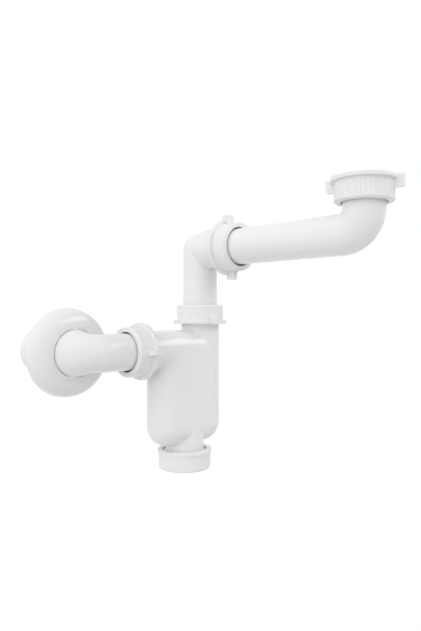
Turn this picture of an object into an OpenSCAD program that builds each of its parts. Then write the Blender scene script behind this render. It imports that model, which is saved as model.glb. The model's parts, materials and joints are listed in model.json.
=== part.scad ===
// Space-saving basin trap in white plastic, with a long basin pipe, a riser elbow,
// a flat trap body, an outlet pipe to the wall and a wall rosette.
// Origin: centre of the basin nut's rim. +Z is up, +Y goes into the wall, +X is right facing the wall.

/* [Pipes] */
// Outside diameter of the basin, riser and outlet pipes
pipe_d = 32; // [31:0.5:33]
// Wall of every pipe
pipe_wall = 1.8; // [1.5:0.1:2.1]
// Outside diameter of the spigot that goes into the wall
spigot_d = 40; // [39:0.5:42]
// Length of the spigot behind the wall line
spigot_l = 45; // [35:1:60]
// Chamfer on every cut pipe end
pipe_chamfer = 0.8; // [0.4:0.1:1.2]

/* [Layout] */
// Basin nut axis to riser axis
reach = 177.8; // [150:1:220]
// Long pipe axis down to outlet axis
rise = 92.8; // [88:0.5:105]
// Riser axis to spigot axis, along the wall
outlet_reach = 125; // [123:1:160]
// Outlet axis to the wall
wall_gap = 31; // [28:0.5:50]

/* [Bends] */
// Centreline radius of the long pipe's bend
bend_r = 18.5; // [17:0.5:26]
// Centreline radius of the outlet bend
outlet_bend_r = 20.6; // [20.6:0.2:22]
// Angle round the outlet bend where it starts to widen
widen_from = 30; // [10:5:40]
// Angle round the outlet bend where it is as wide as the spigot
widen_to = 84; // [70:2:86]

/* [Slip sockets] */
// Radial clearance of a pipe in its socket
slip_clear = 0.3; // [0.2:0.05:0.5]
// Wall of the trap body and its necks
body_wall = 1.5; // [1.3:0.1:2]
// Wall of the elbow's socket
elbow_wall = 2; // [1.6:0.1:2.2]
// How far the thread root stands out from the neck
thread_land = 1.4; // [1.2:0.1:2]
// Radial room for the thread between socket and nut
thread_room = 1.3; // [1:0.1:1.6]
// Length of the threaded end of a socket
socket_l = 11.4; // [9:0.2:13]
// Depth of the cone seat in the socket mouth
seat_depth = 4.5; // [3.5:0.1:6]
// Width of the socket rim left outside the cone seat
seat_rim = 0.9; // [0.6:0.1:1.1]

/* [Nuts] */
// Height of a union nut
nut_h = 17.6; // [16.6:0.1:20]
// Wall of a union nut
nut_wall = 1.2; // [1:0.1:2]
// Thickness of a nut's flange
flange_t = 3.3; // [2.5:0.1:4]
// How far a nut's flange stands out from its body
flange_out = 3.2; // [2:0.1:4]
// Thickness of a nut's end lip
lip_t = 2.3; // [1.6:0.1:3]
// Radial gap between a nut's mouth and the pipe
mouth_gap = 1.4; // [0.8:0.1:1.8]
// Radial reach of a lug past the flange
lug_out = 4.2; // [3:0.1:5]
// Width of a lug
lug_w = 3.8; // [3:0.1:5]
// Height of a lug along the nut
lug_h = 9.5; // [7:0.1:12]
// Rounding of a nut's outer end
nut_edge = 1.2; // [0.6:0.1:1.4]

/* [Seals] */
// Radial clearance between a seal and the pipe through it
seal_fit = 0.05; // [0.03:0.01:0.1]
// Gap between a cone seal and its seat
seat_clear = 0.15; // [0.1:0.05:0.25]
// Gap between the pieces stacked inside a nut
stack_clear = 0.1; // [0.05:0.05:0.2]
// Thickness of a cone seal's rim
seal_rim_t = 1.6; // [1.2:0.1:2]
// Thickness of the basin gasket
gasket_t = 3; // [2:0.1:3.4]
// Thickness of the cap gasket
cap_gasket_t = 2.5; // [2:0.1:3]

/* [Basin nut] */
// Height of the basin nut
basin_nut_h = 18.5; // [17.5:0.1:22]
// Radius of the basin nut's threaded bore
basin_bore_r = 21; // [20.9:0.05:21.3]
// Length of the basin nut's threaded bore
basin_thread_l = 9; // [8:0.1:9.6]
// Wall of the basin nut outside its thread
basin_nut_wall = 1.2; // [1:0.1:1.6]
// Thickness of the basin nut's bottom lip
basin_lip_t = 3; // [2:0.1:3.4]
// Thickness of the collar on the long pipe
collar_t = 2.5; // [2:0.1:3]
// Radius of that collar
collar_r = 19; // [18.4:0.1:19.4]
// Upright pipe that shows under the basin nut
upright_show = 3.6; // [2:0.1:12]
// Number of grip flutes round the basin nut
flute_n = 40; // [24:1:48]
// Depth of a grip flute
flute_depth = 0.35; // [0.2:0.05:0.5]

/* [Trap body] */
// Distance between the centres of the body's two round ends
body_l = 41.3; // [38:0.1:60]
// Outlet axis down to the centre of the rounded bottom
body_drop = 68.9; // [60:0.1:90]
// Inlet neck that shows between the body's shoulder and the inlet nut
neck_show = 5.9; // [4:0.1:14]
// Outlet branch from the body's round end to the outlet nut
branch_l = 28.1; // [27:0.1:36]
// Thickness of the partition that makes the water seal
partition_t = 1.5; // [1.2:0.1:2]
// Gap between the riser pipe and the partition
partition_gap = 0.8; // [0.5:0.1:1.5]
// Depth of water held back by the partition
water_seal = 50; // [45:0.5:52]
// Height and thickness of the stop rib inside the outlet branch
stop_h = 1.6; // [1:0.1:2]

/* [Clean-out] */
// Riser axis to clean-out axis
cleanout_x = 19.7; // [18.5:0.1:21]
// Rounded bottom's centre down to the cap's rim
cleanout_drop = 22.8; // [21:0.1:30]
// Height of the cap
cap_h = 17.6; // [16.6:0.1:22]
// Radius of the cap's skirt
cap_r = 23.85; // [23.2:0.05:25]
// Thickness of the cap's floor
cap_floor_t = 2.2; // [1.6:0.1:2.8]
// Height of the cap's rim flange
cap_flange_t = 3.3; // [2.5:0.1:4]
// How far the rim flange stands out
cap_flange_out = 1.1; // [0.6:0.1:2]

/* [Riser] */
// Riser pipe inside the trap, below the outlet axis
riser_below = 13.7; // [8:0.5:30]
// Riser axis to the back of the elbow's socket
elbow_back = 10.6; // [9:0.1:12]
// Riser axis to the riser nut's flange
elbow_l = 35; // [33.5:0.1:45]
// Rounding at the back of the elbow's socket
elbow_round = 2; // [1:0.1:3]
// Room left to push the long pipe further into the elbow
pipe_spare = 9; // [4:0.5:12]
// Room left to push the outlet pipe further into the trap
outlet_spare = 3.1; // [2:0.1:6]

/* [Rosette] */
// Radius of the wall rosette
rosette_r = 37.7; // [36:0.1:45]
// Depth of the rosette
rosette_h = 14.5; // [12:0.1:16]
// Wall of the rosette
rosette_wall = 1.5; // [1.2:0.1:2]
// Radial clearance of the rosette on the spigot
rosette_clear = 0.5; // [0.4:0.05:0.7]
// Length of the rosette's inner collar
rosette_collar = 4; // [2:0.5:8]
// Width of the insertion mark cut round the spigot
mark_w = 0.9; // [0.8:0.1:1.5]

/* [Hidden] */

$fn = 96;
eps = 0.5;
white = "white";
black = [0.1, 0.1, 0.1];

pipe_r = pipe_d / 2;
bore_r = pipe_r - pipe_wall;
spigot_r = spigot_d / 2;
socket_bore_r = pipe_r + slip_clear;
neck_r = socket_bore_r + body_wall;
root_r = neck_r + thread_land;
nut_bore_r = root_r + thread_room;
nut_body_r = nut_bore_r + nut_wall;
nut_flange_r = nut_body_r + flange_out;
lug_tip_r = nut_flange_r + lug_out;
mouth_r = pipe_r + mouth_gap;
seat_mouth_r = root_r - seat_rim;
thread_chamfer = seat_rim / 2;
seal_bore_r = pipe_r + seal_fit;
seal_rim_r = root_r - 2 * stack_clear;
ring_top = nut_h - lip_t - stack_clear;
ring_bottom = socket_l + seal_rim_t + 2 * stack_clear;

basin_body_r = basin_bore_r + basin_nut_wall;
basin_relief_r = collar_r + 1;
basin_flange_r = basin_body_r + flange_out - nut_wall / 2;

upright_l = upright_show + basin_lip_t + stack_clear;
pipe_z = -(basin_nut_h + upright_show + bend_r);
collar_z = -(basin_nut_h - basin_lip_t - stack_clear);
outlet_z = pipe_z - rise;

neck_top = neck_r + neck_show;
elbow_socket_r = socket_bore_r + elbow_wall;
elbow_stop = elbow_back + elbow_wall;
elbow_mouth = elbow_l + socket_l;
cavity_r = socket_bore_r;
branch_stop = body_l + cavity_r + stop_h / 2;
partition_x = cavity_r + partition_gap;
partition_bottom = -(bore_r + water_seal);
cleanout_bore_r = neck_r - 2;
cleanout_top = body_drop + cleanout_drop;
cap_bore_r = nut_bore_r;
cleanout_l = cap_h - cap_floor_t - cap_gasket_t - stack_clear;

// Places
module at_long_pipe() { translate([0, reach, pipe_z]) children(); }
module at_trap() { translate([0, reach, outlet_z]) children(); }
module at_riser_joint() { at_long_pipe() translate([0, -elbow_l, 0]) rotate([90, 0, 0]) children(); }
module at_inlet_joint() { at_trap() translate([0, 0, neck_top]) children(); }
module at_outlet_joint() { at_trap() translate([-body_l - branch_l, 0, 0]) rotate([0, -90, 0]) children(); }
module at_cap() { at_trap() translate([-cleanout_x, 0, -cleanout_top]) rotate([180, 0, 0]) children(); }

// Shapes shared by several pieces
module tube(r_out, r_in, h) {
    difference() {
        cylinder(r = r_out, h = h);
        translate([0, 0, -eps]) cylinder(r = r_in, h = h + 2 * eps);
    }
}

module ring_of(profile) { rotate_extrude() polygon(profile); }

// A pipe along +Z whose far end has a chamfer outside
module cut_pipe(r_out, r_in, h, chamfer) {
    ring_of([
        [r_in, 0], [r_out, 0], [r_out, h - chamfer], [r_out - chamfer, h], [r_in, h]
    ]);
}

// Quarter-turn pipe bend about the Y axis' far side, from +Z down into +Y
module torus_bend(r, centre_r) {
    rotate_extrude(angle = 90) translate([centre_r, 0]) circle(r = r);
}

// Solid outside of a socket's threaded end, along +Z from the neck
module thread_root() {
    ring_of([
        [0, 0], [root_r, 0], [root_r, socket_l - thread_chamfer],
        [root_r - thread_chamfer, socket_l], [0, socket_l]
    ]);
}

// Bore of a socket with the cone seat at its mouth, along +Z up to the mouth
module socket_bore(depth) {
    ring_of([
        [0, socket_l - depth], [socket_bore_r, socket_l - depth],
        [socket_bore_r, socket_l - seat_depth], [seat_mouth_r, socket_l],
        [seat_mouth_r, socket_l + eps], [0, socket_l + eps]
    ]);
}

module lugs(body_r, tip_r, angle) {
    for (side = [0, 180])
        rotate([0, 0, angle + side])
            translate([0, lug_w / 2, 0]) rotate([90, 0, 0]) linear_extrude(lug_w)
                polygon([
                    [body_r - 0.6, 0], [tip_r, 0], [tip_r, lug_h - nut_edge],
                    [tip_r - nut_edge, lug_h], [body_r - 0.6, lug_h]
                ]);
}

// Union nut along +Z, flange first, with its lip at the far end
module union_nut(angle) {
    color(white) {
        ring_of([
            [nut_bore_r, 0], [nut_flange_r - 0.4, 0], [nut_flange_r, 0.4],
            [nut_flange_r, flange_t - 0.4], [nut_flange_r - 0.4, flange_t],
            [nut_body_r, flange_t], [nut_body_r, nut_h - nut_edge],
            [nut_body_r - nut_edge, nut_h], [mouth_r, nut_h],
            [mouth_r, nut_h - lip_t], [nut_bore_r, nut_h - lip_t]
        ]);
        lugs(nut_body_r, lug_tip_r, angle);
    }
}

// Hard ring between the nut's lip and the cone seal
module thrust_ring() {
    color(black) translate([0, 0, ring_bottom])
        tube(seal_rim_r, socket_bore_r, ring_top - ring_bottom);
}

// Rubber seal, a cone in the seat with a rim on the socket's mouth
module cone_seal() {
    slope = (seat_mouth_r - socket_bore_r) / seat_depth;
    tip = seat_depth * 0.7;
    top = socket_l + stack_clear;
    color(black) ring_of([
        [seal_bore_r, socket_l - tip],
        [seat_mouth_r - seat_clear - slope * tip, socket_l - tip],
        [seat_mouth_r - seat_clear, top],
        [seal_rim_r, top],
        [seal_rim_r, top + seal_rim_t],
        [seal_bore_r, top + seal_rim_t]
    ]);
}

// Long pipe from the basin, with its collar and its bend
module inlet_pipe() {
    color(white) {
        translate([0, 0, collar_z]) {
            tube(collar_r, bore_r, collar_t);
            translate([0, 0, -upright_l]) tube(pipe_r, bore_r, upright_l);
        }
        translate([0, bend_r, pipe_z + bend_r]) rotate([0, 90, 0]) rotate([0, 0, -90])
            difference() {
                torus_bend(pipe_r, bend_r);
                torus_bend(bore_r, bend_r);
            }
        translate([0, bend_r, pipe_z]) rotate([-90, 0, 0])
            cut_pipe(pipe_r, bore_r, reach - bend_r - elbow_stop - pipe_spare, pipe_chamfer);
    }
}

module basin_gasket() {
    color(black) translate([0, 0, collar_z + collar_t]) tube(collar_r, bore_r, gasket_t);
}

// Basin nut, hanging on the long pipe's collar, with its thread at the top
module basin_nut() {
    flute_r = 1.2;
    color(white) translate([0, 0, -basin_nut_h]) {
        difference() {
            ring_of([
                [mouth_r, 0], [basin_body_r - nut_edge, 0], [basin_body_r, nut_edge],
                [basin_body_r, basin_nut_h - flange_t],
                [basin_flange_r, basin_nut_h - flange_t + 0.4],
                [basin_flange_r, basin_nut_h - 0.4], [basin_flange_r - 0.4, basin_nut_h],
                [basin_bore_r + 0.4, basin_nut_h], [basin_bore_r, basin_nut_h - 0.4],
                [basin_bore_r, basin_nut_h - basin_thread_l],
                [basin_relief_r, basin_nut_h - basin_thread_l],
                [basin_relief_r, basin_lip_t], [mouth_r, basin_lip_t]
            ]);
            for (i = [0 : flute_n - 1])
                rotate([0, 0, i * 360 / flute_n])
                    translate([basin_body_r + flute_r - flute_depth, 0, 2 * nut_edge])
                        cylinder(r = flute_r, h = basin_nut_h - flange_t - 3 * nut_edge, $fn = 24);
        }
        translate([0, 0, basin_nut_h]) mirror([0, 0, 1]) lugs(basin_body_r, lug_tip_r, -74);
    }
}

// Riser elbow: spigot down into the trap, threaded socket towards the basin
module riser_elbow() {
    spigot_l = rise + riser_below;
    color(white) at_long_pipe() difference() {
        union() {
            ring_of([
                [0, -spigot_l], [pipe_r - pipe_chamfer, -spigot_l],
                [pipe_r, -spigot_l + pipe_chamfer], [pipe_r, 0], [0, 0]
            ]);
            rotate_extrude() intersection() { circle(r = pipe_r); square(pipe_r); }
            rotate([90, 0, 0]) {
                ring_of([
                    [0, 0], [pipe_r - 1, 0], [elbow_socket_r - elbow_round, elbow_back],
                    [elbow_socket_r, elbow_back + elbow_round],
                    [elbow_socket_r, elbow_l], [0, elbow_l]
                ]);
                translate([0, 0, elbow_l]) thread_root();
            }
        }
        translate([0, 0, -spigot_l - eps]) cylinder(r = bore_r, h = spigot_l + eps);
        rotate_extrude() intersection() { circle(r = bore_r); square(bore_r); }
        rotate([90, 0, 0]) {
            cylinder(r = bore_r - 0.2, h = elbow_l);
            translate([0, 0, elbow_l]) socket_bore(elbow_mouth - elbow_stop);
        }
    }
}

// Half a cylinder of radius r along +Z, on the side of +Y
module half_round(r, h) { rotate_extrude(angle = 180) square([r, h]); }

// The vessel's outside or inside, by its half width: flat faces, round ends and bottom,
// a round top that runs on as the outlet branch, and the inlet neck
module vessel(r, neck_h, branch_end) {
    // round end under the neck
    for (end = [[0, -90], [-body_l, 90]])
        translate([end[0], 0, -body_drop]) rotate([0, 0, end[1]]) {
            half_round(r, body_drop);
            rotate_extrude(angle = 180) mirror([0, 1]) intersection() { circle(r = r); square(r); }
        }
    // flat faces
    translate([-body_l, -r, -body_drop]) cube([body_l, 2 * r, body_drop]);
    // round bottom and round top
    translate([-body_l, 0, -body_drop]) rotate([0, 90, 0]) rotate([0, 0, -90]) half_round(r, body_l);
    translate([-body_l, 0, 0]) rotate([0, 90, 0]) rotate([0, 0, 90]) half_round(r, body_l);
    // neck and branch
    cylinder(r = r, h = neck_h);
    translate([-body_l, 0, 0]) rotate([0, -90, 0]) cylinder(r = r, h = branch_end - body_l);
}

module trap_body() {
    color(white) at_trap() difference() {
        union() {
            vessel(neck_r, neck_top, body_l + branch_l);
            translate([0, 0, neck_top]) thread_root();
            translate([-body_l - branch_l, 0, 0]) rotate([0, -90, 0]) thread_root();
            translate([-cleanout_x, 0, -body_drop]) mirror([0, 0, 1]) {
                cylinder(r = neck_r, h = cleanout_drop + nut_edge);
                translate([0, 0, cleanout_drop + nut_edge])
                    cylinder(r = root_r, h = cleanout_l - nut_edge);
            }
        }
        difference() {
            vessel(cavity_r, neck_top + eps, body_l + branch_l + eps);
            // partition
            translate([-partition_x - partition_t, -2 * neck_r, partition_bottom])
                cube([partition_t, 4 * neck_r, -partition_bottom + 2 * neck_r]);
            // stop rib for the outlet pipe
            translate([-branch_stop, 0, 0]) rotate([0, -90, 0]) tube(neck_r, cavity_r - stop_h, stop_h);
        }
        translate([0, 0, neck_top]) socket_bore(socket_l + eps);
        translate([-body_l - branch_l, 0, 0]) rotate([0, -90, 0]) socket_bore(socket_l + eps);
        translate([-cleanout_x, 0, -body_drop]) mirror([0, 0, 1])
            cylinder(r = cleanout_bore_r, h = cleanout_drop + cleanout_l + eps);
    }
}

module cleanout_cap() {
    color(white) at_cap() ring_of([
        [cap_bore_r, 0], [cap_r + cap_flange_out - 0.4, 0], [cap_r + cap_flange_out, 0.4],
        [cap_r + cap_flange_out, cap_flange_t - 0.4], [cap_r, cap_flange_t],
        [cap_r, cap_h - nut_edge], [cap_r - nut_edge, cap_h], [0, cap_h],
        [0, cap_h - cap_floor_t], [cap_bore_r, cap_h - cap_floor_t]
    ]);
}

module cap_gasket() {
    color(black) at_cap() translate([0, 0, cap_h - cap_floor_t - cap_gasket_t])
        tube(root_r, cleanout_bore_r, cap_gasket_t);
}

// Outside of the outlet bend: a round section swept a quarter turn while it widens
function ease(t) = let (c = min(1, max(0, t))) c * c * (3 - 2 * c);
function widened(a, r0, r1) = r0 + (r1 - r0) * ease((a - widen_from) / (widen_to - widen_from));
function bend_point(a, b, r) =
    let (out = outlet_bend_r + r * cos(b)) [outlet_bend_r - out * sin(a), outlet_bend_r - out * cos(a), r * sin(b)];

module widening_bend() {
    steps = 12;
    sides = 40;
    inset = 0.02;
    points = [
        for (i = [0 : steps], j = [0 : sides - 1])
            bend_point(90 * i / steps, 360 * j / sides,
                       widened(90 * i / steps, pipe_r - inset, spigot_r - inset))
    ];
    walls = [
        for (i = [0 : steps - 1], j = [0 : sides - 1])
            let (a = i * sides, b = a + sides, k = (j + 1) % sides)
            each [[a + j, b + k, a + k], [a + j, b + j, b + k]]
    ];
    first = [for (j = [0 : sides - 1]) j];
    last = [for (j = [sides - 1 : -1 : 0]) steps * sides + j];
    polyhedron(points = points, faces = concat(walls, [first, last]));
}

// Outlet pipe: into the trap's branch, round the widening bend and into the wall
module outlet_pipe() {
    run = outlet_reach - outlet_bend_r - branch_stop - stop_h - outlet_spare;
    leg = wall_gap + spigot_l - outlet_bend_r;
    color(white) at_trap() translate([-outlet_reach, 0, 0]) {
        difference() {
            union() {
                translate([outlet_bend_r, 0, 0]) rotate([0, 90, 0])
                    cut_pipe(pipe_r, 0, run, pipe_chamfer);
                widening_bend();
                translate([0, outlet_bend_r, 0]) rotate([-90, 0, 0])
                    ring_of([
                        [0, 0], [spigot_r, 0],
                        [spigot_r, wall_gap - outlet_bend_r + 2],
                        [spigot_r - 0.3, wall_gap - outlet_bend_r + 2.2],
                        [spigot_r - 0.3, wall_gap - outlet_bend_r + 2 + mark_w - 0.2],
                        [spigot_r, wall_gap - outlet_bend_r + 2 + mark_w],
                        [spigot_r, leg - pipe_chamfer], [spigot_r - pipe_chamfer, leg], [0, leg]
                    ]);
            }
            translate([outlet_bend_r - eps / 10, 0, 0]) rotate([0, 90, 0])
                cylinder(r = bore_r, h = run + eps);
            translate([outlet_bend_r, outlet_bend_r, 0]) rotate([0, 0, 180])
                torus_bend(bore_r, outlet_bend_r);
            translate([0, outlet_bend_r - 12, 0]) rotate([-90, 0, 0])
                cylinder(r1 = bore_r - 0.1, r2 = spigot_r - pipe_wall, h = 12);
            translate([0, outlet_bend_r, 0]) rotate([-90, 0, 0])
                cylinder(r = spigot_r - pipe_wall, h = leg + eps);
        }
    }
}

module wall_rosette() {
    hole_r = spigot_r + rosette_clear;
    centre = rosette_r - rosette_h;
    inner_h = rosette_h - rosette_wall;
    color(white) at_trap() translate([-outlet_reach, wall_gap, 0]) rotate([90, 0, 0])
        rotate_extrude() difference() {
            union() {
                translate([centre, 0]) intersection() { circle(r = rosette_h); square(rosette_h); }
                translate([hole_r, 0]) square([centre - hole_r, rosette_h]);
            }
            translate([centre, 0]) intersection() { circle(r = inner_h); square(inner_h); }
            translate([hole_r + rosette_wall, 0]) square([centre - hole_r - rosette_wall, inner_h]);
            square([hole_r + rosette_wall, rosette_h - rosette_collar]);
        }
}

inlet_pipe();
basin_gasket();
basin_nut();
riser_elbow();
at_riser_joint() cone_seal();  // riser_cone_seal
at_riser_joint() thrust_ring();  // riser_thrust_ring
at_riser_joint() union_nut(95);  // riser_nut
trap_body();
at_inlet_joint() cone_seal();  // inlet_cone_seal
at_inlet_joint() thrust_ring();  // inlet_thrust_ring
at_inlet_joint() union_nut(-102);  // inlet_nut
outlet_pipe();
at_outlet_joint() cone_seal();  // outlet_cone_seal
at_outlet_joint() thrust_ring();  // outlet_thrust_ring
at_outlet_joint() union_nut(90);  // outlet_nut
wall_rosette();
cap_gasket();
cleanout_cap();
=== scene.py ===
"""Dresses the basin trap: its finishes, its threads and its drawn outlet bend, in a pale studio.

Lengths are metres. +Z is up the basin waste, +Y goes into the wall, +X is right facing the wall.
"""
import json
import logging
import math
from dataclasses import dataclass, field
from enum import Enum

import bmesh
import bpy
from mathutils import Matrix, Vector


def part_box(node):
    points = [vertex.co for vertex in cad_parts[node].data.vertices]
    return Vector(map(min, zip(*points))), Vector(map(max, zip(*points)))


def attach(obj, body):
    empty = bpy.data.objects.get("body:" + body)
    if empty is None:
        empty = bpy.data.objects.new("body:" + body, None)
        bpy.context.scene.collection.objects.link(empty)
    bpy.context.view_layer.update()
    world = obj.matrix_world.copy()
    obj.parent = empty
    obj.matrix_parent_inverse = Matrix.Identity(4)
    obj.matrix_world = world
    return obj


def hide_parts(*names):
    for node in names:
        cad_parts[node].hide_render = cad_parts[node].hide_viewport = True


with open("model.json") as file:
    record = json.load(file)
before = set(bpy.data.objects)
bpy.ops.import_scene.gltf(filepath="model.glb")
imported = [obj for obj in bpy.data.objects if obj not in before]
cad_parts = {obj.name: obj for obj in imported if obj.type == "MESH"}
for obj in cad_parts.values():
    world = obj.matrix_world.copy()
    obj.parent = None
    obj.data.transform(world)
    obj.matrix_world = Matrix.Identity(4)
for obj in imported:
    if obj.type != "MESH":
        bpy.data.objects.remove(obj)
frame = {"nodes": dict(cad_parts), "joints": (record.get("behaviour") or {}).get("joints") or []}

LOG = logging.getLogger("basin_trap")
MM = 0.001


class Slot(Enum):
    """The record's material slots."""

    WHITE_PLASTIC = "white_plastic"
    BLACK_RUBBER = "black_rubber"
    BLACK_PLASTIC = "black_plastic"


class Thread(Enum):
    """Which side of its wall a thread ridge stands on."""

    MALE = 1
    FEMALE = -1


def new_socket(group: bpy.types.NodeTree, name: str, kind: str, value: object = None,
               out: bool = False) -> None:
    """Adds a named socket to a node group's interface.

    Args:
        group: The group.
        name: The socket's name.
        kind: The socket's type, without its prefix, such as Float.
        value: Its default, if it has one.
        out: True for an output.
    """
    socket = group.interface.new_socket(
        name=name, in_out="OUTPUT" if out else "INPUT", socket_type="NodeSocket" + kind)
    if value is not None:
        socket.default_value = value


def add_node(tree: bpy.types.NodeTree, kind: str, **settings: object) -> bpy.types.Node:
    """Adds a node and sets its properties.

    Args:
        tree: The tree.
        kind: The node's type.
        **settings: Properties of the node.

    Returns:
        The node.
    """
    node = tree.nodes.new(kind)
    for key, value in settings.items():
        setattr(node, key, value)
    return node


def feed(tree: bpy.types.NodeTree, socket: bpy.types.NodeSocket, source: object) -> None:
    """Links a socket to another one, or sets its value.

    Args:
        tree: The tree.
        socket: The input.
        source: An output socket, or a plain value.
    """
    if isinstance(source, bpy.types.NodeSocket):
        tree.links.new(source, socket)
    else:
        socket.default_value = source


def math_node(tree: bpy.types.NodeTree, operation: str, *values: object) -> bpy.types.NodeSocket:
    """Adds a Math node.

    Args:
        tree: The tree.
        operation: The node's operation.
        *values: Its inputs, as sockets or numbers.

    Returns:
        Its output.
    """
    node = add_node(tree, "ShaderNodeMath", operation=operation)
    for socket, value in zip(node.inputs, values):
        feed(tree, socket, value)
    return node.outputs[0]


class MouldedSurface:
    """The shader node group that every finish shares: tone, polish, ripple and grain of a mould."""

    NAME = "moulded_surface"

    @classmethod
    def group(cls) -> bpy.types.NodeTree:
        """Builds the group once.

        Returns:
            The group, with Colour, Roughness and Height as its outputs.
        """
        found = bpy.data.node_groups.get(cls.NAME)
        if found:
            return found
        tree = bpy.data.node_groups.new(cls.NAME, "ShaderNodeTree")
        new_socket(tree, "Vector", "Vector")
        for name in ("Colour", "Shade"):
            new_socket(tree, name, "Color")
        for name in ("Tone Size", "Roughness", "Roughness Spread", "Ripple Size", "Ripple Depth",
                     "Grain Size", "Grain Depth"):
            new_socket(tree, name, "Float", 0.01)
        new_socket(tree, "Colour", "Color", out=True)
        new_socket(tree, "Roughness", "Float", out=True)
        new_socket(tree, "Height", "Float", out=True)
        given = add_node(tree, "NodeGroupInput").outputs
        result = add_node(tree, "NodeGroupOutput").inputs

        tone = cls.noise(tree, given["Vector"], given["Tone Size"], detail=2.0)
        blend = add_node(tree, "ShaderNodeMix", data_type="RGBA")
        feed(tree, blend.inputs["Factor"], tone)
        feed(tree, blend.inputs["A"], given["Colour"])
        feed(tree, blend.inputs["B"], given["Shade"])
        feed(tree, result["Colour"], blend.outputs["Result"])

        polish = math_node(tree, "MULTIPLY_ADD", math_node(tree, "SUBTRACT", tone, 0.5),
                           given["Roughness Spread"], given["Roughness"])
        feed(tree, result["Roughness"], polish)

        ripple = cls.noise(tree, given["Vector"], given["Ripple Size"], detail=1.0)
        grain = cls.noise(tree, given["Vector"], given["Grain Size"], detail=3.0)
        height = math_node(tree, "MULTIPLY_ADD", ripple, given["Ripple Depth"],
                           math_node(tree, "MULTIPLY", grain, given["Grain Depth"]))
        feed(tree, result["Height"], height)
        return tree

    @staticmethod
    def noise(tree: bpy.types.NodeTree, vector: bpy.types.NodeSocket, size: bpy.types.NodeSocket,
              detail: float) -> bpy.types.NodeSocket:
        """Adds a noise whose cells have a real size.

        Args:
            tree: The tree.
            vector: The place.
            size: The size of a cell, in metres.
            detail: How many finer layers it has.

        Returns:
            The noise, from 0 to 1.
        """
        node = add_node(tree, "ShaderNodeTexNoise")
        feed(tree, node.inputs["Vector"], vector)
        feed(tree, node.inputs["Scale"], math_node(tree, "DIVIDE", 1.0, size))
        feed(tree, node.inputs["Detail"], detail)
        return node.outputs["Fac"]


@dataclass(frozen=True)
class Finish:
    """One finish, as a piece comes from its mould or press."""

    name: str
    slot: Slot
    colour: tuple[float, float, float]
    shade: tuple[float, float, float]
    roughness: float
    roughness_spread: float = 0.04
    tone_size: float = 40 * MM
    ripple_size: float = 9 * MM
    ripple_depth: float = 0.012 * MM
    grain_size: float = 0.35 * MM
    grain_depth: float = 0.001 * MM
    ior: float = 1.5

    def material(self) -> bpy.types.Material:
        """Builds the finish's material once.

        Returns:
            The material.
        """
        found = bpy.data.materials.get(self.name)
        if found:
            return found
        material = bpy.data.materials.new(self.name)
        material.use_nodes = True
        material.diffuse_color = (*self.colour, 1.0)
        tree = material.node_tree
        shader = tree.nodes["Principled BSDF"]
        shader.inputs["IOR"].default_value = self.ior
        place = add_node(tree, "ShaderNodeTexCoord")
        surface = add_node(tree, "ShaderNodeGroup", node_tree=MouldedSurface.group())
        feed(tree, surface.inputs["Vector"], place.outputs["Object"])
        settings = {
            "Colour": (*self.colour, 1.0), "Shade": (*self.shade, 1.0),
            "Tone Size": self.tone_size,
            "Roughness": self.roughness, "Roughness Spread": self.roughness_spread,
            "Ripple Size": self.ripple_size, "Ripple Depth": self.ripple_depth,
            "Grain Size": self.grain_size, "Grain Depth": self.grain_depth,
        }
        for socket, value in settings.items():
            surface.inputs[socket].default_value = value
        bump = add_node(tree, "ShaderNodeBump")
        bump.inputs["Distance"].default_value = 1.0
        feed(tree, bump.inputs["Height"], surface.outputs["Height"])
        feed(tree, shader.inputs["Base Color"], surface.outputs["Colour"])
        feed(tree, shader.inputs["Roughness"], surface.outputs["Roughness"])
        feed(tree, shader.inputs["Normal"], bump.outputs["Normal"])
        return material


WHITE = (0.87, 0.87, 0.87)
GLOSS_SHADE = (0.855, 0.857, 0.86)
PIPE_GLOSS = Finish("pipe_gloss", Slot.WHITE_PLASTIC, WHITE, GLOSS_SHADE, 0.16)
BODY_GLOSS = Finish("body_gloss", Slot.WHITE_PLASTIC, WHITE, GLOSS_SHADE, 0.2,
                    ripple_size=14 * MM, ripple_depth=0.02 * MM)
NUT_SATIN = Finish("nut_satin", Slot.WHITE_PLASTIC, WHITE, (0.85, 0.852, 0.855), 0.36,
                   ripple_depth=0.006 * MM, grain_size=0.25 * MM, grain_depth=0.004 * MM)
SEAL_RUBBER = Finish("seal_rubber", Slot.BLACK_RUBBER, (0.02, 0.02, 0.021), (0.034, 0.034, 0.035), 0.62,
                     roughness_spread=0.12, tone_size=6 * MM, grain_size=0.2 * MM,
                     grain_depth=0.012 * MM)
SLIP_RING = Finish("slip_ring", Slot.BLACK_PLASTIC, (0.03, 0.03, 0.031), (0.045, 0.045, 0.046), 0.42,
                   roughness_spread=0.08, tone_size=8 * MM, grain_depth=0.003 * MM)


def dress(node: str, finish: Finish) -> None:
    """Gives a CAD node its finish.

    Args:
        node: The node's name.
        finish: Its finish.
    """
    slots = frame["nodes"][node].data.materials
    slots.clear()
    slots.append(finish.material())
    LOG.info("node %s: %s", node, finish.name)


def settle(piece: bpy.types.Object, body: str) -> None:
    """Rides a new piece on its body.

    Args:
        piece: The piece, in place.
        body: The CAD body that it moves with.
    """
    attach(piece, body)
    LOG.info("piece %s on %s: %d faces", piece.name, body, len(piece.data.polygons))


def link_mesh(name: str, mesh: bpy.types.Mesh) -> bpy.types.Object:
    """Makes an object of a mesh and puts it in the scene.

    Args:
        name: The object's name.
        mesh: Its mesh.

    Returns:
        The object.
    """
    piece = bpy.data.objects.new(name, mesh)
    bpy.context.scene.collection.objects.link(piece)
    return piece


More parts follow.
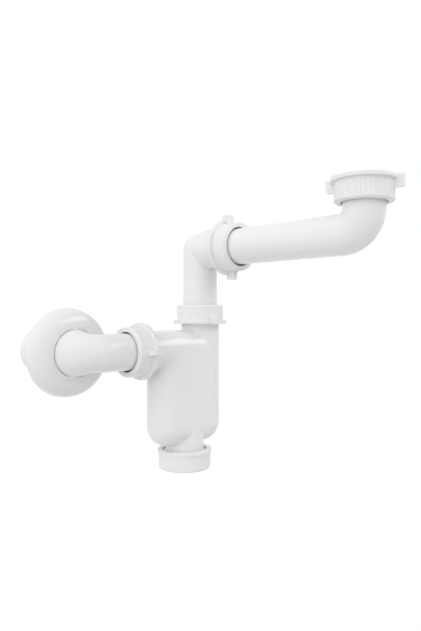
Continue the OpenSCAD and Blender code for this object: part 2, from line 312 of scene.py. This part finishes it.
@dataclass(frozen=True)
class Seat:
    """The axis that a round joint is built round: a point on it, and the way it leaves the body."""

    origin: Vector
    axis: Vector

    @classmethod
    def of_joint(cls, name: str, foot: str) -> "Seat":
        """Reads the axis of a hinge in the record and starts it at the foot of a CAD node.

        Args:
            name: The joint's name.
            foot: The node whose lowest point along the axis is the seat's origin.

        Returns:
            The seat.
        """
        joint = next(j for j in frame["joints"] if j["name"] == name)
        place = Vector(joint["pos_m"])
        axis = Vector(joint["axis"]).normalized()
        start = min((v.co - place).dot(axis) for v in frame["nodes"][foot].data.vertices)
        return cls(place + start * axis, axis)

    def matrix(self) -> Matrix:
        """Turns +Z at the world's origin into this seat."""
        turn = Vector((0, 0, 1)).rotation_difference(self.axis)
        return Matrix.Translation(self.origin) @ turn.to_matrix().to_4x4()

    def radii(self, node: str, along: float = 0.0, slack: float = 0.1 * MM) -> tuple[float, float]:
        """Measures a CAD node round a plane across the axis.

        Args:
            node: The node's name.
            along: The plane's place along the axis from the origin.
            slack: How far from the plane a corner may lie.

        Returns:
            The least and the greatest distance from the axis of the corners near the plane.
        """
        found = []
        for vertex in frame["nodes"][node].data.vertices:
            offset = vertex.co - self.origin
            height = offset.dot(self.axis)
            if abs(height - along) <= slack:
                found.append((offset - height * self.axis).length)
        return min(found), max(found)


class ThreadRidge:
    """The Geometry Nodes tree that winds one thread ridge along +Z."""

    NAME = "thread_ridge"
    INPUTS = {
        "Radius": 19.2 * MM, "Pitch": 3 * MM, "Turns": 3.0, "Depth": 1 * MM,
        "Root Width": 1.6 * MM, "Crest Width": 0.7 * MM, "Sink": 0.1 * MM, "Run Out": 0.12,
    }
    STEPS_A_TURN = 72
    LEAST_FADE = 0.05

    @classmethod
    def tree(cls) -> bpy.types.NodeTree:
        """Builds the tree once.

        Returns:
            The tree, with the sizes and the material as its inputs.
        """
        found = bpy.data.node_groups.get(cls.NAME)
        if found:
            return found
        tree = bpy.data.node_groups.new(cls.NAME, "GeometryNodeTree")
        new_socket(tree, "Geometry", "Geometry", out=True)
        for name, value in cls.INPUTS.items():
            new_socket(tree, name, "Float", value)
        new_socket(tree, "Material", "Material")
        given = add_node(tree, "NodeGroupInput").outputs

        helix = add_node(tree, "GeometryNodeCurveSpiral")
        feed(tree, helix.inputs["Resolution"], cls.STEPS_A_TURN)
        feed(tree, helix.inputs["Rotations"], given["Turns"])
        feed(tree, helix.inputs["Start Radius"], given["Radius"])
        feed(tree, helix.inputs["End Radius"], given["Radius"])
        feed(tree, helix.inputs["Height"], math_node(tree, "MULTIPLY", given["Turns"], given["Pitch"]))
        feed(tree, helix.inputs["Reverse"], False)
        upright = add_node(tree, "GeometryNodeSetCurveNormal", mode="Z_UP")
        feed(tree, upright.inputs["Curve"], helix.outputs["Curve"])

        section = add_node(tree, "GeometryNodeCurvePrimitiveQuadrilateral", mode="TRAPEZOID")
        feed(tree, section.inputs["Height"], math_node(tree, "ABSOLUTE", given["Depth"]))
        feed(tree, section.inputs["Bottom Width"], given["Root Width"])
        feed(tree, section.inputs["Top Width"], given["Crest Width"])
        feed(tree, section.inputs["Offset"], 0.0)
        lift = add_node(tree, "ShaderNodeCombineXYZ")
        half = math_node(tree, "MULTIPLY", math_node(tree, "ABSOLUTE", given["Depth"]), 0.5)
        feed(tree, lift.inputs["Y"], math_node(tree, "SUBTRACT", half, given["Sink"]))
        stand = add_node(tree, "GeometryNodeTransform")
        feed(tree, stand.inputs["Geometry"], section.outputs["Curve"])
        feed(tree, stand.inputs["Translation"], lift.outputs["Vector"])
        turned = add_node(tree, "GeometryNodeTransform")
        feed(tree, turned.inputs["Geometry"], stand.outputs["Geometry"])
        spin = add_node(tree, "ShaderNodeCombineXYZ")
        side = math_node(tree, "MULTIPLY", math_node(tree, "SIGN", given["Depth"]), math.pi / 2)
        feed(tree, spin.inputs["Z"], side)
        feed(tree, turned.inputs["Rotation"], spin.outputs["Vector"])

        along = add_node(tree, "GeometryNodeSplineParameter").outputs["Factor"]
        from_end = math_node(tree, "MINIMUM", along, math_node(tree, "SUBTRACT", 1.0, along))
        rise = math_node(tree, "DIVIDE", from_end, given["Run Out"])
        fade = math_node(tree, "MAXIMUM", math_node(tree, "MINIMUM", rise, 1.0), cls.LEAST_FADE)
        ridge = add_node(tree, "GeometryNodeCurveToMesh")
        feed(tree, ridge.inputs["Curve"], upright.outputs["Curve"])
        feed(tree, ridge.inputs["Profile Curve"], turned.outputs["Geometry"])
        feed(tree, ridge.inputs["Scale"], fade)
        feed(tree, ridge.inputs["Fill Caps"], True)

        whole = add_node(tree, "GeometryNodeRealizeInstances")
        feed(tree, whole.inputs["Geometry"], ridge.outputs["Mesh"])
        dressed = add_node(tree, "GeometryNodeSetMaterial")
        feed(tree, dressed.inputs["Geometry"], whole.outputs["Geometry"])
        feed(tree, dressed.inputs["Material"], given["Material"])
        feed(tree, add_node(tree, "NodeGroupOutput").inputs["Geometry"], dressed.outputs["Geometry"])
        return tree

    @classmethod
    def wind(cls, name: str, place: Matrix, finish: Finish, **sizes: float) -> bpy.types.Object:
        """Winds one ridge and turns it into a plain mesh.

        Args:
            name: The piece's name.
            place: Where +Z at the origin goes.
            finish: Its finish.
            **sizes: The tree's inputs that differ from their defaults, by name with _ for a space.

        Returns:
            The piece.
        """
        holder = link_mesh(name + "_path", bpy.data.meshes.new(name + "_path"))
        modifier = holder.modifiers.new("ridge", "NODES")
        modifier.node_group = cls.tree()
        for socket in cls.tree().interface.items_tree:
            if socket.in_out == "INPUT" and socket.name == "Material":
                modifier[socket.identifier] = finish.material()
            elif socket.in_out == "INPUT":
                key = socket.name.lower().replace(" ", "_")
                modifier[socket.identifier] = float(sizes.get(key, cls.INPUTS[socket.name]))
        depsgraph = bpy.context.evaluated_depsgraph_get()
        mesh = bpy.data.meshes.new_from_object(holder.evaluated_get(depsgraph))
        holder.modifiers.remove(modifier)
        bpy.data.objects.remove(holder)
        mesh.name = name
        mesh.transform(place)
        outward(mesh)
        return link_mesh(name, mesh)


@dataclass(frozen=True)
class ThreadForm:
    """The sizes of one thread, whichever side of its wall it stands on."""

    pitch: float = 3 * MM
    depth: float = 1 * MM
    root_w: float = 1.6 * MM
    crest_w: float = 0.7 * MM

    def set_on(self, name: str, seat: Seat, radius: float, side: Thread, start: float, length: float,
               body: str) -> None:
        """Winds one ridge on a wall and rides it on its body.

        Args:
            name: The ridge's name.
            seat: The axis that it is wound round.
            radius: The wall that it stands on.
            side: Which way it stands from that wall.
            start: Where it starts, along the axis.
            length: How much of the axis it takes.
            body: The CAD body that it rides on.
        """
        place = seat.matrix() @ Matrix.Translation((0, 0, start))
        finish = NUT_SATIN if side is Thread.FEMALE else BODY_GLOSS
        piece = ThreadRidge.wind(
            name, place, finish, radius=radius, pitch=self.pitch,
            turns=(length - self.pitch / 2) / self.pitch, depth=side.value * self.depth,
            root_width=self.root_w, crest_width=self.crest_w)
        settle(piece, body)


def outward(mesh: bpy.types.Mesh, crease: float = math.radians(30)) -> None:
    """Merges a closed mesh's doubles, turns its faces outwards and smooths what isn't an edge.

    Args:
        mesh: The mesh.
        crease: The angle from which an edge stays sharp.
    """
    shape = bmesh.new()
    shape.from_mesh(mesh)
    bmesh.ops.remove_doubles(shape, verts=shape.verts, dist=0.001 * MM)
    bmesh.ops.recalc_face_normals(shape, faces=shape.faces)
    shape.to_mesh(mesh)
    shape.free()
    mesh.shade_smooth()
    mesh.set_sharp_from_angle(angle=crease)


def ring_at(centre: Vector, across: Vector, up: Vector, radius: float, sides: int) -> list[Vector]:
    """Works out a ring of points.

    Args:
        centre: Its centre.
        across: The unit vector at angle 0.
        up: The unit vector at 90 degrees.
        radius: Its radius.
        sides: How many points it has.

    Returns:
        The points.
    """
    angles = (2 * math.pi * i / sides for i in range(sides))
    return [centre + radius * (math.cos(a) * across + math.sin(a) * up) for a in angles]


def looped_skin(name: str, rings: list[list[Vector]], finish: Finish) -> bpy.types.Object:
    """Joins rings one after another, and the last to the first, into a closed skin.

    Args:
        name: The piece's name.
        rings: The rings, each with as many points.
        finish: Its finish.

    Returns:
        The piece.
    """
    sides = len(rings[0])
    points = [point for ring in rings for point in ring]
    faces = []
    for i in range(len(rings)):
        low = i * sides
        high = (i + 1) % len(rings) * sides
        for j in range(sides):
            k = (j + 1) % sides
            faces.append((low + j, low + k, high + k, high + j))
    mesh = bpy.data.meshes.new(name)
    mesh.from_pydata(points, [], faces)
    mesh.materials.append(finish.material())
    outward(mesh)
    return link_mesh(name, mesh)


@dataclass
class LongPipe:
    """The long pipe from the basin, with the gasket on its collar."""

    def build(self) -> None:
        """Dresses the pipe and its gasket."""
        dress("inlet_pipe", PIPE_GLOSS)
        dress("basin_gasket", SEAL_RUBBER)


@dataclass
class BasinNut:
    """The nut that holds the long pipe's collar up against the basin waste."""

    thread: ThreadForm = ThreadForm(2.309 * MM, 1.2 * MM, 1.9 * MM, 0.5 * MM)
    thread_l: float = 8.2 * MM
    bore_probe: float = -0.6 * MM
    probe_slack: float = 0.5 * MM

    def build(self) -> None:
        """Dresses the nut and winds its thread from the rim down."""
        dress("basin_nut", NUT_SATIN)
        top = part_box("basin_nut")[1].z
        seat = Seat(Vector((0, 0, top)), Vector((0, 0, 1)))
        bore_r = seat.radii("basin_nut", self.bore_probe, self.probe_slack)[0]
        self.thread.set_on("basin_nut_thread", seat, bore_r, Thread.FEMALE, -self.thread_l,
                           self.thread_l, "basin_nut")


@dataclass
class UnionJoint:
    """A threaded neck with its cone seal, slip ring and union nut."""

    name: str
    neck_node: str
    neck_body: str
    turn_joint: str
    thread: ThreadForm = ThreadForm()
    male_start: float = 1.4 * MM
    male_l: float = 8.8 * MM
    female_l: float = 9.5 * MM

    def build(self) -> None:
        """Dresses the joint's pieces and winds both its threads."""
        nut = f"{self.name}_nut"
        dress(f"{self.name}_cone_seal", SEAL_RUBBER)
        dress(f"{self.name}_thrust_ring", SLIP_RING)
        dress(nut, NUT_SATIN)
        seat = Seat.of_joint(self.turn_joint, nut)
        self.thread.set_on(f"{self.name}_neck_thread", seat, seat.radii(self.neck_node)[1],
                           Thread.MALE, self.male_start, self.male_l, self.neck_body)
        self.thread.set_on(f"{nut}_thread", seat, seat.radii(nut)[0], Thread.FEMALE,
                           self.male_start + self.thread.pitch / 2, self.female_l, nut)


@dataclass
class RiserElbow:
    """The riser with its threaded socket towards the basin."""

    def build(self) -> None:
        """Dresses the elbow."""
        dress("riser_elbow", PIPE_GLOSS)


@dataclass
class TrapBody:
    """The flat vessel that holds the water seal."""

    def build(self) -> None:
        """Dresses the body."""
        dress("trap_body", BODY_GLOSS)


@dataclass
class OutletPipe:
    """The pipe from the trap into the wall, drawn as one skin round its widening bend."""

    bend_r: float = 20.6 * MM
    widen_from: float = math.radians(30)
    widen_to: float = math.radians(84)
    wall: float = 1.8 * MM
    chamfer: float = 0.8 * MM
    mark_after_wall: float = 2 * MM
    mark_w: float = 0.9 * MM
    mark_depth: float = 0.3 * MM
    mark_side: float = 0.25
    sides: int = 96
    bend_steps: int = 36
    leg_steps: int = 4
    body: str = "outlet"
    low: Vector = field(default_factory=lambda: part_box("outlet_pipe")[0])
    high: Vector = field(default_factory=lambda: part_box("outlet_pipe")[1])

    def build(self) -> None:
        """Makes the pipe from its outside and its bore, and lets it stand for the CAD node."""
        outside = self.course(0.0)
        bore = self.course(self.wall)
        piece = looped_skin("outlet_pipe_drawn", outside + bore[::-1], PIPE_GLOSS)
        dress("outlet_pipe", PIPE_GLOSS)
        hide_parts("outlet_pipe")
        settle(piece, self.body)

    def course(self, inset: float) -> list[list[Vector]]:
        """Works out the rings from the trap's end to the wall's end.

        Args:
            inset: How far the rings lie inside the pipe's outside.

        Returns:
            The rings.
        """
        middle_z = (self.low.z + self.high.z) / 2
        wide_r = (self.high.z - self.low.z) / 2
        axis_y = Seat.of_joint("outlet_swivel", "outlet_pipe").origin.y
        pipe_r = axis_y - self.low.y
        corner = Vector((self.low.x + wide_r, axis_y, middle_z))
        up = Vector((0, 0, 1))
        run_end = self.high.x
        leg_end = self.high.y
        wall_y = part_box("wall_rosette")[1].y
        cut = 0.0 if inset else self.chamfer
        rings = []

        def straight(x: float, radius: float) -> None:
            """Adds a ring across the run towards the trap."""
            rings.append(ring_at(Vector((x, axis_y, middle_z)), Vector((0, 1, 0)), up,
                                 radius - inset, self.sides))

        def leg(y: float, radius: float) -> None:
            """Adds a ring across the leg into the wall."""
            rings.append(ring_at(Vector((corner.x, y, middle_z)), Vector((1, 0, 0)), up,
                                 radius - inset, self.sides))

        straight(run_end, pipe_r - cut)
        if not inset:
            straight(run_end - cut, pipe_r)
        bend_start = corner.x + self.bend_r
        for i in range(1, self.leg_steps):
            straight(run_end + (bend_start - run_end) * i / self.leg_steps, pipe_r)
        centre = Vector((bend_start, axis_y + self.bend_r, middle_z))
        for i in range(self.bend_steps + 1):
            angle = math.pi / 2 * i / self.bend_steps
            out = Vector((-math.sin(angle), -math.cos(angle), 0))
            rings.append(ring_at(centre + self.bend_r * out, -out, up,
                                 self.radius_at(angle, pipe_r, wide_r) - inset, self.sides))
        if not inset:
            mark = wall_y + self.mark_after_wall
            slope = self.mark_w * self.mark_side
            leg(mark, wide_r)
            leg(mark + slope, wide_r - self.mark_depth)
            leg(mark + self.mark_w - slope, wide_r - self.mark_depth)
            leg(mark + self.mark_w, wide_r)
            leg(leg_end - cut, wide_r)
        leg(leg_end, wide_r - cut)
        return rings

    def radius_at(self, angle: float, narrow: float, wide: float) -> float:
        """Works out the outside radius round the bend.

        Args:
            angle: How far round the bend.
            narrow: The radius before the bend.
            wide: The radius after it.

        Returns:
            The radius there.
        """
        t = min(1.0, max(0.0, (angle - self.widen_from) / (self.widen_to - self.widen_from)))
        return narrow + (wide - narrow) * t * t * (3 - 2 * t)


@dataclass
class WallRosette:
    """The domed cover over the hole in the wall."""

    def build(self) -> None:
        """Dresses the rosette."""
        dress("wall_rosette", PIPE_GLOSS)


@dataclass
class CleanOut:
    """The cap under the body, with its gasket and both threads."""

    thread: ThreadForm = ThreadForm()
    male_start: float = 1.6 * MM
    male_l: float = 9 * MM
    female_l: float = 9.5 * MM
    gasket_reach: float = 20 * MM

    def build(self) -> None:
        """Dresses the cap and its gasket and winds both threads."""
        dress("cleanout_cap", NUT_SATIN)
        dress("cap_gasket", SEAL_RUBBER)
        seat = Seat.of_joint("cap_turn", "cleanout_cap")
        root_r = seat.radii("cap_gasket", slack=self.gasket_reach)[1]
        bore_r = seat.radii("cleanout_cap")[0]
        self.thread.set_on("cleanout_neck_thread", seat, root_r, Thread.MALE, self.male_start,
                           self.male_l, "trap")
        self.thread.set_on("cleanout_cap_thread", seat, bore_r, Thread.FEMALE,
                           self.male_start + self.thread.pitch / 2, self.female_l, "cap")


@dataclass
class Studio:
    """The camera at the photograph's angle, a pale floor and soft light."""

    eye: Vector = field(default_factory=lambda: Vector((-0.3907, -0.2406, -0.1021)))
    gaze: Vector = field(default_factory=lambda: Vector((0.695, 0.719, 0.0)))
    focal_px: float = 600.7
    frame_px: float = 631.0
    sensor: float = 36.0
    near_clip: float = 0.01
    middle: Vector = field(default_factory=lambda: Vector((-0.03, 0.12, -0.12)))
    floor_z: float = -0.6
    floor_r: float = 8.0
    floor_sides: int = 96
    floor_tone: float = 0.8
    floor_roughness: float = 0.8
    pool_r: tuple[float, float] = (0.15, 0.42)
    light_level: float = 0.43
    light_slope: tuple[float, float, float] = (-1.00, -0.08, 0.36)
    key_way: Vector = field(default_factory=lambda: Vector((0.62, -0.53, 0.62)))
    key_distance: float = 1.1
    key_size: tuple[float, float] = (1.3, 0.45)
    key_power: float = 5.63

    def build(self) -> None:
        """Sets up the camera, the world, the floor and the key light."""
        self.camera()
        self.world()
        self.floor()
        self.panel("key_panel", self.key_way, self.key_distance, self.key_size, self.key_power)
        bpy.context.scene.view_settings.view_transform = "Standard"

    def camera(self) -> None:
        """Puts the camera where the photograph was taken from."""
        lens = bpy.data.cameras.new("camera")
        lens.sensor_fit = "VERTICAL"
        lens.sensor_height = self.sensor
        lens.lens = self.focal_px / self.frame_px * self.sensor
        lens.clip_start = self.near_clip
        camera = bpy.data.objects.new("camera", lens)
        bpy.context.scene.collection.objects.link(camera)
        camera.location = self.eye
        camera.rotation_euler = self.gaze.to_track_quat("-Z", "Y").to_euler()
        bpy.context.scene.camera = camera

    def seen(self, tree: bpy.types.NodeTree) -> bpy.types.NodeSocket:
        """Adds the test for rays that show a surface rather than light one.

        Args:
            tree: The tree of a material or of the world.

        Returns:
            1 for camera, glossy and transmission rays, and 0 for the rest.
        """
        path = add_node(tree, "ShaderNodeLightPath").outputs
        either = math_node(tree, "MAXIMUM", path["Is Camera Ray"], path["Is Glossy Ray"])
        return math_node(tree, "MAXIMUM", either, path["Is Transmission Ray"])

    def world(self) -> None:
        """Makes a world that shows white and lights the object softly from above and the left."""
        world = bpy.data.worlds.new("studio")
        bpy.context.scene.world = world
        world.use_nodes = True
        tree = world.node_tree
        direction = add_node(tree, "ShaderNodeTexCoord").outputs["Generated"]
        slope = add_node(tree, "ShaderNodeVectorMath", operation="DOT_PRODUCT")
        feed(tree, slope.inputs[0], direction)
        feed(tree, slope.inputs[1], self.light_slope)
        level = math_node(tree, "ADD", slope.outputs["Value"], self.light_level)
        mix = add_node(tree, "ShaderNodeMix", data_type="FLOAT")
        feed(tree, mix.inputs["Factor"], self.seen(tree))
        feed(tree, mix.inputs["A"], math_node(tree, "MAXIMUM", level, 0.0))
        feed(tree, mix.inputs["B"], 1.0)
        feed(tree, tree.nodes["Background"].inputs["Strength"], mix.outputs["Result"])
        tree.nodes["Background"].inputs["Color"].default_value = (1, 1, 1, 1)

    def floor(self) -> None:
        """Makes a floor whose pale pool keeps the object's shadow and fades into the white round it."""
        centre = Vector((self.middle.x, self.middle.y, self.floor_z))
        shape = bmesh.new()
        bmesh.ops.create_circle(shape, cap_ends=True, segments=self.floor_sides, radius=self.floor_r,
                                matrix=Matrix.Translation(centre))
        mesh = bpy.data.meshes.new("floor")
        shape.to_mesh(mesh)
        shape.free()
        material = bpy.data.materials.new("floor_paint")
        material.use_nodes = True
        tree = material.node_tree
        paint = tree.nodes["Principled BSDF"]
        paint.inputs["Base Color"].default_value = (*[self.floor_tone] * 3, 1.0)
        paint.inputs["Roughness"].default_value = self.floor_roughness
        glow = add_node(tree, "ShaderNodeEmission")
        offset = add_node(tree, "ShaderNodeVectorMath", operation="SUBTRACT")
        feed(tree, offset.inputs[0], add_node(tree, "ShaderNodeTexCoord").outputs["Object"])
        feed(tree, offset.inputs[1], centre)
        distance = add_node(tree, "ShaderNodeVectorMath", operation="LENGTH")
        feed(tree, distance.inputs[0], offset.outputs["Vector"])
        fade = add_node(tree, "ShaderNodeMapRange", interpolation_type="SMOOTHSTEP")
        feed(tree, fade.inputs["Value"], distance.outputs["Value"])
        feed(tree, fade.inputs["From Min"], self.pool_r[0])
        feed(tree, fade.inputs["From Max"], self.pool_r[1])
        mix = add_node(tree, "ShaderNodeMixShader")
        feed(tree, mix.inputs[0], math_node(tree, "MULTIPLY", fade.outputs["Result"], self.seen(tree)))
        feed(tree, mix.inputs[1], paint.outputs["BSDF"])
        feed(tree, mix.inputs[2], glow.outputs["Emission"])
        feed(tree, tree.nodes["Material Output"].inputs["Surface"], mix.outputs["Shader"])
        mesh.materials.append(material)
        link_mesh("floor", mesh)

    def panel(self, name: str, way: Vector, distance: float, size: tuple[float, float],
              power: float) -> None:
        """Hangs a soft light panel that faces the object's middle.

        Args:
            name: Its name.
            way: The direction from the middle to it.
            distance: How far away it hangs.
            size: Its width and height.
            power: Its power in watts.
        """
        lamp = bpy.data.lights.new(name, "AREA")
        lamp.shape = "RECTANGLE"
        lamp.size, lamp.size_y = size
        lamp.energy = power
        panel = bpy.data.objects.new(name, lamp)
        panel.location = self.middle + distance * way.normalized()
        panel.rotation_euler = (-way).to_track_quat("-Z", "Y").to_euler()
        panel.visible_camera = False
        bpy.context.scene.collection.objects.link(panel)


def main() -> None:
    """Builds every sub-assembly in order."""
    logging.basicConfig(level=logging.INFO, format="%(name)s: %(message)s")
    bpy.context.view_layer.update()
    Studio().build()
    for assembly in (
        LongPipe(),
        BasinNut(),
        RiserElbow(),
        UnionJoint("riser", "riser_elbow", "elbow", "riser_nut_turn"),
        TrapBody(),
        UnionJoint("inlet", "trap_body", "trap", "inlet_nut_turn"),
        OutletPipe(),
        UnionJoint("outlet", "trap_body", "trap", "outlet_nut_turn"),
        WallRosette(),
        CleanOut(),
    ):
        assembly.build()


if __name__ == "__main__":
    main()
